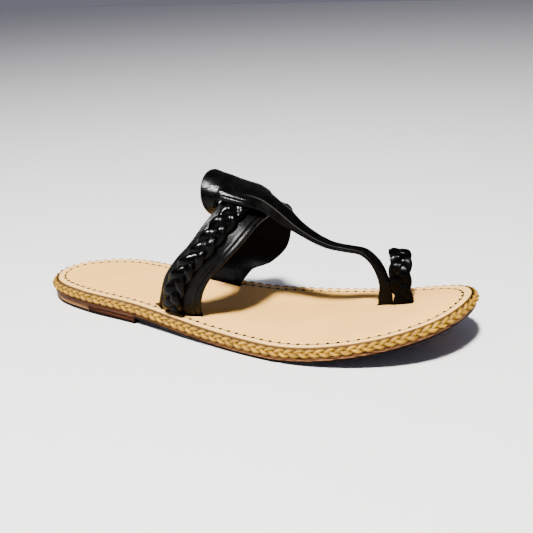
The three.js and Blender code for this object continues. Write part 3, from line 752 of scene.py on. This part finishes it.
# %% Band surface
LEATHER = 2
PIPING = 3
BAND_FROM_HEEL = 99.3
BAND_FOOT_X = BAND_FROM_HEEL - INSOLE_LENGTH / 2
BAND_WIDTH = 29.5
BAND_LEAN = 35
INSTEP_Y = -1.8
INSTEP_HALF_WIDTH = 27.7
INSTEP_HEIGHT = 58
BAND_ROWS = table(
    "lean half side up tip bow",
    (0.035, 0.46, -0.79, 0.02, 0.05, 0.15), (0.115, 0.43, -0.91, 0.13, 0.07, 0.13),
    (0.27, 0.4, -1, 0.345, 0.17, 0.1), (0.465, 0.39, -0.99, 0.51, 0.17, 0.08),
    (0.69, 0.41, -0.92, 0.655, 0.14, 0.06), (0.85, 0.39, -0.765, 0.79, 0.25, 0.05),
    (0.95, 0.38, -0.49, 0.9, 0.28, 0.04), (0.97, 0.4, -0.15, 0.96, 0.33, 0.03),
    (0.97, 0.42, 0.23, 0.97, 0.34, 0.03), (0.97, 0.5, 0.565, 0.95, 0.16, 0.04),
    (0.93, 0.585, 0.82, 0.855, 0.07, 0.06), (0.815, 0.635, 0.95, 0.68, 0.08, 0.07),
    (0.67, 0.67, 1, 0.485, 0.18, 0.08), (0.455, 0.61, 0.98, 0.31, 0.17, 0.09),
    (0.17, 0.5, 0.93, 0.165, 0.05, 0.06), (0, 0.49, 0.83, 0.02, 0.05, 0.02),
)
BAND_END = len(BAND_ROWS) - 1
STEP = 0.02


def band_point(along, across):
    """Flat strap: along counts table rows, across runs from the rear to the front edge."""
    lean, half, side, up, tip, _ = row_at(BAND_ROWS, along).values()
    return Vector((
        BAND_FOOT_X + BAND_LEAN * lean + BAND_WIDTH * half * (2 * across - 1),
        INSTEP_Y + INSTEP_HALF_WIDTH * side,
        insole_top(BAND_FOOT_X) + INSTEP_HEIGHT * up + BAND_WIDTH * tip * (0.5 - across),
    ))


def surface_normal(surface, along, across):
    """Unit vector out of a surface, from its slopes along and across."""
    way = surface(min(along + STEP, BAND_END), across) - surface(max(along - STEP, 0), across)
    width = surface(along, min(across + STEP, 1)) - surface(along, max(across - STEP, 0))
    return width.cross(way).normalized()


def band_surface(along, across):
    """Strap with its middle bowed outwards."""
    bow = BAND_WIDTH * table_value(BAND_ROWS, "bow", along) * 4 * across * (1 - across)
    return band_point(along, across) + bow * surface_normal(band_point, along, 0.5)


print("band top at", [round(v, 1) for v in band_surface(8, 0.5)])

# %% [markdown]
# Distances and rises in millimetres draw the two piped edges of the band's section.
# The rows begin and end in the slots, where the leather goes on down through the insole.

# %% Band leather
EDGE_RISE = 0.3
EDGE_PIPING = ((0, EDGE_RISE), (0.35, 0.95), (0.9, 1.35), (1.6, 1.5))
REAR_EDGE = (*EDGE_PIPING, (2.3, 1.3), (2.8, 0.9), (3.4, 1.0))
FRONT_EDGE = (
    *EDGE_PIPING, (2.3, 1.25), (2.8, 0.85), (3.2, 1.15), (3.8, 1.4), (4.4, 1.3), (5.0, 0.85), (5.6, 1.0),
)
BAND_ROWS_BETWEEN = 7
BAND_COLUMNS_BETWEEN = 14


def band_ring(along):
    """Section of the band: upper face from rear to front, then the lining back."""
    width = (band_point(along, 1) - band_point(along, 0)).length
    columns = [(distance / width, rise) for distance, rise in REAR_EDGE]
    first, last = columns[-1][0], 1 - FRONT_EDGE[-1][0] / width
    for k in range(1, BAND_COLUMNS_BETWEEN):
        columns.append((first + (last - first) * k / BAND_COLUMNS_BETWEEN, LEATHER / 2))
    columns += [(1 - distance / width, rise) for distance, rise in FRONT_EDGE[::-1]]
    upper, lower = [], []
    for across, rise in columns:
        centre = band_surface(along, across)
        normal = surface_normal(band_surface, along, across)
        upper.append(centre + normal * rise)
        lower.append(centre - normal * (rise if rise == EDGE_RISE else LEATHER / 2))
    return upper + lower[::-1]


def slot_foot(ring):
    """Copy of a ring let down through its slot, almost to the outsole."""
    return [Vector((p.x, p.y, insole_bottom(p.x) + SEAT_GAP)) for p in ring]


def with_feet(rings):
    """Rings with a foot in the slot at both ends."""
    return [slot_foot(rings[0]), *rings, slot_foot(rings[-1])]


def lining_mask(rings):
    """One on the lower half of each ring, which is the matt inner side of the leather."""
    half = len(rings[0]) // 2
    return [[0] * half + [1] * half for _ in rings]


bm, uv_layer = start_mesh("lining")
band_rings = with_feet([band_ring(place) for place in places(BAND_ROWS, BAND_ROWS_BETWEEN)])
add_rings(bm, uv_layer, band_rings, lining=lining_mask(band_rings))
dress(finish_mesh("instep_band_leather", bm), BLACK_BAND, "black_leather", "instep_band")

# %% [markdown]
# ## Plaits
#
# The band's plait, the toe loop and the jute rim are all three-strand plaits. Each strand swings
# from side to side and rises over and dips under its neighbours twice a swing, a third of a turn
# behind the strand before it. Modelling the real strands gives true gaps and shadows from
# every side, which a bump could only suggest.

# %% Paths
def even_path(points, step, closed=False):
    """Places and points an even distance apart along a line of points, and its length."""
    line = points + points[:1] if closed else points
    lengths = lengths_along(line)
    count = round(lengths[-1] / step)
    spaced, k = [], 0
    for i in range(count + (0 if closed else 1)):
        wanted = lengths[-1] * i / count
        while k < len(lengths) - 2 and lengths[k + 1] < wanted:
            k += 1
        part = (wanted - lengths[k]) / (lengths[k + 1] - lengths[k])
        spaced.append((k + part, line[k].lerp(line[k + 1], part)))
    return spaced, lengths[-1]


def edge_line(margin, height, sense=1):
    """Points all round the sole, a margin outside the insole's edge, at a height."""
    line = []
    for i in range(OUTLINE_STEPS):
        p = edge_point(sense * math.tau * i / OUTLINE_STEPS, margin)
        line.append(Vector((p.x, p.y, height(p.x))))
    return line


def whole_path(line, pitch, samples=1):
    """Closed path with a whole number of pitches: its points, that number and its length."""
    length = even_path(line, pitch, closed=True)[1]
    count = round(length / pitch)
    spaced, _ = even_path(line, length / count / samples, closed=True)
    return [spot for _, spot in spaced], count, length


# %% Strands
STRANDS = 3


def strand_section(count, squareness):
    """Points round a flattened strand: across and out, each from -1 to 1."""
    turns = [math.tau * k / count for k in range(count)]
    circle = [(math.cos(turn), math.sin(turn)) for turn in turns]
    return [tuple(math.copysign(abs(v) ** squareness, v) for v in spot) for spot in circle]


def plait_mesh(frames, periods, shape, closed=False, feet=False):
    """Three strands along a row of frames: centre, side, out, way and thickness.

    The plait is laid looser at its ends, by the shape's ease."""
    bm, uv_layer = start_mesh("lift")
    steps = len(frames) if closed else len(frames) - 1
    ease = shape["ease"]
    for strand in range(STRANDS):
        rings, lifts = [], []
        for i, (centre, side, out, way, thick) in enumerate(frames):
            share = i / steps
            eased = share - ease / math.tau * math.sin(math.tau * share)
            turn = math.tau * (periods * eased + strand / STRANDS)
            swing = shape["swing"] * math.sin(turn)
            height = thick * shape["sense"] * shape["rise"] * math.sin(2 * turn)
            pace = (1 - ease * math.cos(math.tau * share)) * math.tau / shape["period"]
            lean = math.atan(shape["swing"] * math.cos(turn) * pace)
            across = side * math.cos(lean) - way * math.sin(lean)
            middle = centre + side * swing + out * height
            ring, lift = [], []
            for x, z in shape["section"]:
                flat = thick * shape["half_height"] * z
                ring.append(middle + across * (shape["half_width"] * x) + out * flat)
                lift.append(0.5 + 0.5 * (height + flat) / (shape["rise"] + shape["half_height"]))
            rings.append(ring)
            lifts.append(lift)
        if feet:
            rings, lifts = with_feet(rings), [lifts[0], *lifts, lifts[-1]]
        add_rings(bm, uv_layer, rings, closed, lift=lifts)
    return bm


# %% [markdown]
# The plait lies a little behind the band's middle, and it thins out towards both slots.

# %% Plait on the band
PLAIT_PLACE = 0.43
PLAIT_PITCH = 9
PLAIT_STEPS = 400
SAMPLES_IN_PITCH = 7
BAND_PLAIT = {
    "period": STRANDS * PLAIT_PITCH, "swing": 3.4, "rise": 1.25, "half_width": 2.85,
    "half_height": 1.6, "ease": 0.2, "sense": -1, "section": strand_section(14, 0.95),
}
PLAIT_LEVEL = 2.3
PLAIT_TAPER = 14
PLAIT_END_SHARE = 0.45
PLAIT_CLEARANCE = 1.6


def half_periods(length, plait):
    """Number of periods in a length, to the nearest half, so that the ends match the middle."""
    return round(length / plait["period"] * 2) / 2


fine = [band_surface(BAND_END * i / PLAIT_STEPS, PLAIT_PLACE) for i in range(PLAIT_STEPS + 1)]
standing = [i for i, p in enumerate(fine) if p.z > insole_top(p.x) + PLAIT_CLEARANCE]
line = fine[standing[0]:standing[-1] + 1]
spaced, plait_length = even_path(line, PLAIT_PITCH / SAMPLES_IN_PITCH)
frames = []
for place, _ in spaced:
    along = BAND_END * (standing[0] + place) / PLAIT_STEPS
    normal = surface_normal(band_surface, along, PLAIT_PLACE)
    side = (band_surface(along, PLAIT_PLACE + STEP) - band_surface(along, PLAIT_PLACE - STEP)).normalized()
    from_end = min(len(frames), len(spaced) - 1 - len(frames)) * plait_length / (len(spaced) - 1)
    thick = PLAIT_END_SHARE + (1 - PLAIT_END_SHARE) * smoothstep(0, PLAIT_TAPER, from_end)
    centre = band_surface(along, PLAIT_PLACE) + normal * (LEATHER / 2 + PLAIT_LEVEL * thick)
    frames.append((centre, side, normal, normal.cross(side), thick))
strands = plait_mesh(frames, half_periods(plait_length, BAND_PLAIT), BAND_PLAIT)
dress(finish_mesh("band_plait_strands", strands), BLACK_LACE, "black_leather", "band_plait")

# %% [markdown]
# The toe loop stands in two slots beside the strap, and its far leg lies further back.

# %% Toe loop
TOE_SLOT_FROM_TIP = 45.5
TOE_SLOT_FROM_SIDE = 24.4
TOE_SLOT_X = INSOLE_LENGTH / 2 - TOE_SLOT_FROM_TIP
TOE_SLOT_Y = INSOLE_WIDTH / 2 - TOE_SLOT_FROM_SIDE
STRAP_WIDTH = 8.8
LOOP_STRAP_WIDTH = 10.4
LOOP_STRAP_THICKNESS = 3.4
LOOP_PITCH = 8.4
LOOP_HEIGHT = 24.8
LOOP_REACH = 17.6
LOOP_SET_BACK = 9.2
LOOP_BULGE = 1.6
LOOP_GAP = 0.4
LOOP_ROWS_BETWEEN = 30
LOOP_FOOT_X = TOE_SLOT_X + STRAP_WIDTH / 2 + LOOP_GAP + LOOP_STRAP_WIDTH / 2
LOOP_ROWS = table(
    "across up out back",
    (0, 0.01, 0, 0), (0, 0.2, 0.5, 0.06), (0, 0.5, 1, 0.13), (0.04, 0.78, 0.7, 0.18),
    (0.24, 0.95, 0, 0.35), (0.5, 1, 0, 0.6), (0.76, 0.95, 0, 0.78), (0.96, 0.78, -0.7, 0.9),
    (1, 0.5, -1, 0.95), (1, 0.2, -0.5, 1), (1, 0.01, 0, 1),
)
LOOP_PLAIT = {
    "period": STRANDS * LOOP_PITCH, "swing": 3.1, "rise": 0.8, "half_width": 2.9,
    "half_height": 1.05, "ease": 0.35, "sense": -1, "section": strand_section(14, 0.9),
}


def loop_point(place):
    across, up, out, back = row_at(LOOP_ROWS, place).values()
    return Vector((
        LOOP_FOOT_X - LOOP_SET_BACK * back,
        TOE_SLOT_Y + LOOP_REACH * across - LOOP_BULGE * out,
        insole_top(LOOP_FOOT_X) + LOOP_HEIGHT * up,
    ))


loop_line = [loop_point(place) for place in places(LOOP_ROWS, LOOP_ROWS_BETWEEN)]
spaced, loop_length = even_path(loop_line, LOOP_PITCH / SAMPLES_IN_PITCH)
spots = [spot for _, spot in spaced]
frames = []
for k, spot in enumerate(spots):
    way = (spots[min(k + 1, len(spots) - 1)] - spots[max(k - 1, 0)]).normalized()
    out = -way.cross(Vector((1, 0, 0))).normalized()
    frames.append((spot, out.cross(way).normalized(), out, way, 1))
strands = plait_mesh(frames, half_periods(loop_length, LOOP_PLAIT), LOOP_PLAIT, feet=True)
dress(finish_mesh("toe_loop_strands", strands), BLACK_LOOP, "black_leather", "toe_loop")

# %% [markdown]
# The jute plait goes round the insole's edge on a whole number of periods. Its face looks
# outwards and a little up, so that the pattern shows from above as well.

# %% Jute rim
JUTE_CENTRE = 1.95
JUTE_TILT = math.radians(34)
JUTE_BELOW_TOP = 0.7
JUTE_PERIOD = 15.9
JUTE_SAMPLES = 16
JUTE_PLAIT = {
    "period": JUTE_PERIOD, "swing": 1.4, "rise": 0.65, "half_width": 0.98,
    "half_height": 0.85, "ease": 0, "sense": 1, "section": strand_section(8, 1.25),
}
rim_line = edge_line(JUTE_CENTRE, lambda x: 0, sense=-1)
spots, rim_periods, rim_length = whole_path(rim_line, JUTE_PERIOD, JUTE_SAMPLES)
frames = []
for k, spot in enumerate(spots):
    way = (spots[(k + 1) % len(spots)] - spots[k - 1]).normalized()
    low, high = outsole_top(spot.x) + SEAT_GAP, insole_top(spot.x) - JUTE_BELOW_TOP
    centre = Vector((spot.x, spot.y, (low + high) / 2))
    outwards = Vector((way.y, -way.x, 0))
    side = Vector((0, 0, math.cos(JUTE_TILT))) - outwards * math.sin(JUTE_TILT)
    out = outwards * math.cos(JUTE_TILT) + Vector((0, 0, math.sin(JUTE_TILT)))
    frames.append((centre, side, out, way, 1))
strands = plait_mesh(frames, rim_periods, JUTE_PLAIT, closed=True)
dress(finish_mesh("jute_plait", strands), STRAW, "jute", "jute_rim")
print("jute plait:", rim_periods, "periods round", round(rim_length), "mm")

# %% [markdown]
# ## Toe strap
#
# The toe strap is one piece of leather. A wide leaf is folded over the top of the band, its
# lateral lip curled far round, and it narrows to a thin strap that twists down between the toes.
# Each section is part of an ellipse, given by its centre, its size and how far each side curls.

# %% Toe strap sections
LEAF_LENGTH = 39
LEAF_OVERHANG = 22.6
LEAF_HALF_WIDTH = 13
LEAF_RISE = 11
LEAF_LIFT = 3.6
STRAP_LEATHER = 1.8
LEAF_ROWS = table(
    "along side wide drop tall lateral medial lean",
    (0, 0.18, 1.06, 0, 1.15, 165, 96, 7), (0.08, 0.18, 1.05, 0.01, 1.09, 156, 93, 6),
    (0.165, 0.18, 1.04, 0.03, 1.02, 152, 90, 5), (0.25, 0.18, 1.06, 0.05, 0.95, 107, 88, 3),
    (0.345, 0.2, 1.22, 0.08, 0.79, 80, 76, 1), (0.525, 0.2, 1.32, 0.1, 0.6, 76, 68, 0),
    (0.655, 0.2, 1.22, 0.2, 0.54, 76, 74, 0), (0.82, 0.22, 0.86, 0.48, 0.58, 79, 78, 0),
    (0.965, 0.25, 0.68, 0.76, 0.5, 86, 84, -6),
)
STRAP_ROWS = table(
    "along side fall wide tall pitch twist",
    (0.08, 0.1, 0.07, 0.8, 2.6, 25, 8), (0.2, 0.15, 0.16, 0.58, 1.7, 32, 12),
    (0.39, 0.32, 0.29, 0.5, 1.1, 28, 10), (0.525, 0.48, 0.355, 0.48, 0.9, 14, 8),
    (0.66, 0.66, 0.385, 0.47, 0.8, 8, 8), (0.78, 0.82, 0.415, 0.4, 0.8, 25, 18),
    (0.895, 0.92, 0.52, 0.34, 0.75, 52, 40), (0.968, 0.98, 0.68, 0.34, 0.7, 68, 62),
    (0.998, 1, 0.81, 0.4, 0.65, 78, 78), (1, 1, 0.95, 0.48, 0.6, 90, 90),
)


def leaf_section(place):
    value = row_at(LEAF_ROWS, place)
    lean = math.radians(value["lean"])
    level = insole_top(BAND_FOOT_X) + INSTEP_HEIGHT + LEAF_LIFT
    return {
        **value,
        "centre": Vector((
            BAND_FOOT_X + BAND_LEAN - LEAF_OVERHANG + LEAF_LENGTH * value["along"],
            INSTEP_Y + LEAF_HALF_WIDTH * value["side"],
            level - LEAF_RISE * value["drop"],
        )),
        "side": Vector((0, 1, 0)),
        "up": Vector((-math.sin(lean), 0, math.cos(lean))),
        "wide": LEAF_HALF_WIDTH * value["wide"],
        "tall": LEAF_RISE * value["tall"],
    }


def strap_section(place):
    value = row_at(STRAP_ROWS, place)
    start = leaf_section(len(LEAF_ROWS) - 1)["centre"]
    end = Vector((TOE_SLOT_X, TOE_SLOT_Y, insole_top(TOE_SLOT_X)))
    shares = (value["along"], value["side"], value["fall"])
    pitch, twist = math.radians(value["pitch"]), math.radians(value["twist"])
    across, over = Vector((0, 1, 0)), Vector((math.sin(pitch), 0, math.cos(pitch)))
    return {
        "centre": Vector(a + (b - a) * share for a, b, share in zip(start, end, shares)),
        "side": across * math.cos(twist) + over * math.sin(twist),
        "up": over * math.cos(twist) - across * math.sin(twist),
        "wide": STRAP_WIDTH * value["wide"],
        "tall": STRAP_LEATHER * value["tall"],
        "lateral": 90,
        "medial": 90,
    }


# %% [markdown]
# A ridge runs down the strap from the leaf, with a painted highlight along its crest. It grows and
# fades between rows of the two tables, and so does the piping along the leaf's lateral edge.

# %% Toe strap leather
STRAP_COLUMNS = 40
ROWS_BETWEEN = 6
FOLD_PLACE = 0.275
FOLD_WIDTH = 0.12
FOLD_RISE = 0.8
FOLD_GROWS = (5.2, 7.5)
FOLD_FADES = (4.5, 6.5)
PIPE_GROWS = (1, 2.2)
PIPE_FADES = (6.0, 7.2)
PIPE_COLUMNS = {2: 0.15, 3: 0.4, 4: 0.2, 5: -0.1, 6: 0.1, 7: 0.35, 8: 0.3, 9: 0.05}
EDGE_SKIVE = {0: 0.35, 1: 0.8}
HEM = ((0.4, 0), (0.85, 0), (1, 0.12), (1, 0.12), (1, -0.1))
PLAIN = (1, 0)


def curled_ring(section, fold, pipe, hem):
    """Ring of the curled sheet of leather, its outer face first.

    fold lifts the ridge down its middle and pipe the piping beside its lateral edge.
    hem holds a share of the thickness and a lift, for the rows at the leaf's rear edge."""
    side, up, wide, tall = (section[key] for key in ("side", "up", "wide", "tall"))
    sweep = section["lateral"] + section["medial"]
    upper, lower = [], []
    for j in range(STRAP_COLUMNS + 1):
        share = j / STRAP_COLUMNS
        turn = math.radians(sweep * share - section["lateral"])
        across, over = math.sin(turn), math.cos(turn)
        place = section["centre"] + side * (wide * across) + up * (tall * over)
        normal = (side * (across / wide) + up * (over / tall)).normalized()
        thin = hem[0] * EDGE_SKIVE.get(min(j, STRAP_COLUMNS - j), 1.0)
        lift = fold * FOLD_RISE * max(0, 1 - abs(share - FOLD_PLACE) / FOLD_WIDTH)
        lift += pipe * PIPE_COLUMNS.get(j, 0) + hem[1]
        upper.append(place + normal * (lift - STRAP_LEATHER * (1 - thin) / 2))
        lower.append(place - normal * (STRAP_LEATHER * (1 + thin) / 2))
    return upper + lower[::-1]


strap_rings, folds = [], []
for i, place in enumerate(places(LEAF_ROWS, ROWS_BETWEEN)):
    folds.append(smoothstep(*FOLD_GROWS, place))
    pipe = smoothstep(*PIPE_GROWS, place) * (1 - smoothstep(*PIPE_FADES, place))
    hem = HEM[i] if i < len(HEM) else PLAIN
    strap_rings.append(curled_ring(leaf_section(place), folds[-1], pipe, hem))
for place in places(STRAP_ROWS, ROWS_BETWEEN):
    folds.append(1 - smoothstep(*FOLD_FADES, place))
    strap_rings.append(curled_ring(strap_section(place), folds[-1], 0, PLAIN))
strap_rings.append(slot_foot(strap_rings[-1]))
folds.append(0)
bm, uv_layer = start_mesh("lining", "crest")
crest_column = round(FOLD_PLACE * STRAP_COLUMNS)
# The crest column carries the painted highlight down the ridge.
crests = [[fold * (j == crest_column) for j in range(len(strap_rings[0]))] for fold in folds]
add_rings(bm, uv_layer, strap_rings, lining=lining_mask(strap_rings), crest=crests)
dress(finish_mesh("toe_strap_leather", bm), BLACK, "black_leather", "toe_strap")

# %% [markdown]
# ## Insole
#
# The insole is a tan leather footbed with a stitch groove all round, a little in from its edge.
# An attribute keeps each point's distance to the edge, so that the material can lighten the
# border. The slots are cut with upright solids, because each strap passes through the leather.

# %% Insole sheet
INSOLE_ROUNDING = (0.5, 0.5)
STITCH_INSET = 4.15
GROOVE = ((5.2, 0), (4.6, -0.06), (STITCH_INSET, -0.22), (3.7, -0.06), (3.1, 0), (1.4, 0))
insole_section = rounded_edge(*INSOLE_ROUNDING, *GROOVE)
insole = finish_mesh("footbed", sole_mesh(0, insole_bottom, insole_top, insole_section))

# %% [markdown]
# The band's slots follow its curved feet, and the lateral one is cut a little too long at the
# rear. The toe slots are straight.

# %% Slots
FOOT_LINE_STEPS = 12
CUT_ANGLE = math.radians(40)
SLOT_CLEARANCE = 0.35
LATERAL_SLOT_EXTRA = 3.2
SLOT_TOP = insole_top(TOE_SLOT_X) + INSOLE_THICKNESS


def slot_cutter(name, line, thickness, rear_reach=SLOT_CLEARANCE):
    """Upright solid round a line on the sole, to cut the slot of a strap."""
    last, half = len(line) - 1, thickness / 2 + SLOT_CLEARANCE
    corners = ((1, SLOT_TOP), (-1, SLOT_TOP), (-1, 0), (1, 0))
    rings = []
    for k, spot in enumerate(line):
        way = (line[min(k + 1, last)] - line[max(k - 1, 0)]).normalized()
        shift = {0: -rear_reach, last: SLOT_CLEARANCE}.get(k, 0)
        aside = Vector((-way.y, way.x)) * half
        rings.append([Vector((*(spot + way * shift + aside * side), z)) for side, z in corners])
    bm, uv_layer = start_mesh()
    add_rings(bm, uv_layer, rings)
    return finish_mesh(name, bm)


def band_foot_line(along):
    return [band_surface(along, k / FOOT_LINE_STEPS).to_2d() for k in range(FOOT_LINE_STEPS + 1)]


def along_x(x, y, length):
    return [Vector((x - length / 2, y)), Vector((x + length / 2, y))]


far_x, far_y = LOOP_FOOT_X - LOOP_SET_BACK, TOE_SLOT_Y + LOOP_REACH
cutters = [
    slot_cutter("cut_lateral", band_foot_line(0), PIPING, LATERAL_SLOT_EXTRA),
    slot_cutter("cut_medial", band_foot_line(BAND_END), PIPING),
    slot_cutter("cut_strap", along_x(TOE_SLOT_X, TOE_SLOT_Y, STRAP_WIDTH), STRAP_LEATHER),
    slot_cutter("cut_loop", along_x(LOOP_FOOT_X, TOE_SLOT_Y, LOOP_STRAP_WIDTH), LOOP_STRAP_THICKNESS),
    slot_cutter("cut_far", along_x(far_x, far_y, LOOP_STRAP_WIDTH), LOOP_STRAP_THICKNESS),
]
for cutter in cutters:
    slot = insole.modifiers.new(cutter.name, "BOOLEAN")
    slot.operation = "DIFFERENCE"
    slot.solver = "EXACT"
    slot.object = cutter
cut = bpy.data.meshes.new_from_object(insole.evaluated_get(bpy.context.evaluated_depsgraph_get()))
insole.modifiers.clear()
insole.data = cut
for cutter in cutters:
    bpy.data.objects.remove(cutter)
cut.set_sharp_from_angle(angle=CUT_ANGLE)
dress(insole, TAN, "tan_leather", "insole")

# %% [markdown]
# ## Stitching
#
# The insole is lockstitched to the jute all round: small awl holes, each a dark disk of painted
# shade, with thread between them, lying in the groove. A stitch is repeated over a hundred times,
# so it has few faces.

# %% Stitches
STITCH_PITCH = 5.11
STITCH_DEPTH = 0.2
HOLE_SIZE = 0.72
HOLE_DEPTH = 0.3
HOLE_RISE = 0.08
HOLE_STRETCH = (1.35, 1.5, 1, 1)
THREAD_SIZE = 0.3
THREAD_RISE = 0.02
THREAD_FLATNESS = 0.1

stitch_line = edge_line(-STITCH_INSET, lambda x: insole_top(x) - STITCH_DEPTH)
stitches, stitch_count, stitch_length = whole_path(stitch_line, STITCH_PITCH)
holes, threads = start_mesh()[0], start_mesh()[0]
for k, spot in enumerate(stitches):
    way = stitches[(k + 1) % stitch_count] - spot
    turn = way.to_track_quat("X", "Z").to_matrix().to_4x4()
    place = Matrix.Translation((spot + Vector((0, 0, HOLE_RISE))) * MM)
    bmesh.ops.create_cone(
        holes, cap_ends=True, segments=10, radius1=HOLE_SIZE * MM, radius2=HOLE_SIZE * MM,
        depth=HOLE_DEPTH * MM, matrix=place @ turn @ Matrix.Diagonal(HOLE_STRETCH),
    )
    run = Matrix.Translation((spot + way / 2 + Vector((0, 0, THREAD_RISE))) * MM)
    stretch = Matrix.Diagonal((way.length / 2, THREAD_SIZE, THREAD_FLATNESS, 1))
    bmesh.ops.create_uvsphere(
        threads, u_segments=8, v_segments=6, radius=MM, matrix=run @ turn @ stretch,
    )
dress(finish_mesh("stitch_hole_shades", holes), HOLE_SHADE, "tan_leather")
dress(finish_mesh("stitch_threads", threads), THREAD, "tan_leather")
print(stitch_count, "stitches over", round(stitch_length), "mm")
